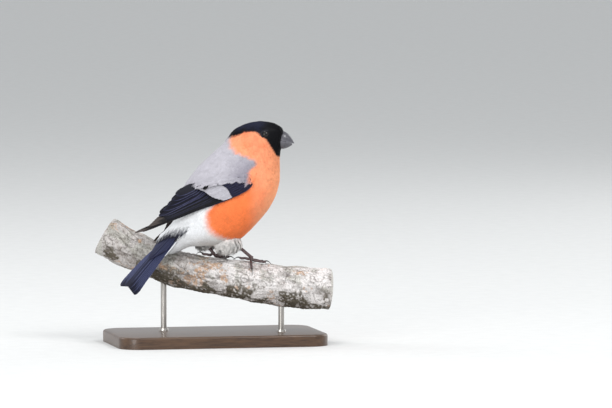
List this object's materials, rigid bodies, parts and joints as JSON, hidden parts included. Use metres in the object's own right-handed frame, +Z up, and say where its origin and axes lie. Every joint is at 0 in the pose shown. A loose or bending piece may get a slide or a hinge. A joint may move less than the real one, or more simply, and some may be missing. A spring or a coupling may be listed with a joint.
{
  "type": "bullfinch",
  "caption": "Life-size still model of a male bullfinch gripping a cut length of branch, held over a flat base by short rods.",
  "frame": {"origin": "centre of the underside of the stand's base", "axes": "+Z up; the bird faces +X; its left side is towards +Y"},
  "size_m": [0.156, 0.0869, 0.1508],
  "materials": {
    "plumage_black": "glossy blue-black feathers of cap and bib",
    "plumage_orange": "soft orange-red breast and cheek feathers, lavender-grey mantle",
    "plumage_white": "soft white rump and vent feathers",
    "flight_feathers": "glossy blue-black flight and tail feathers with a pale wing bar",
    "bill": "smooth grey-black horn",
    "eye": "polished dark brown",
    "leg": "scaled dark brown skin and horn",
    "bark": "weathered pale bark with lichen",
    "stand_wood": "satin dark wood",
    "stand_metal": "brushed steel"
  },
  "bodies": {
    "root": {"head": "plumage_black", "neck": "plumage_orange", "torso": "plumage_orange", "rump": "plumage_white", "tail": "flight_feathers", "wing_left": "flight_feathers", "wing_right": "flight_feathers", "bill_upper": "bill", "bill_lower": "bill", "eye_left": "eye", "eye_right": "eye", "thigh_left": "plumage_white", "thigh_right": "plumage_white", "shank_left": "leg", "shank_right": "leg", "foot_left": "leg", "foot_right": "leg", "perch_branch": "bark", "stand_base": "stand_wood", "stand_rod_rear": "stand_metal", "stand_rod_front": "stand_metal"}
  },
  "joints": []
}
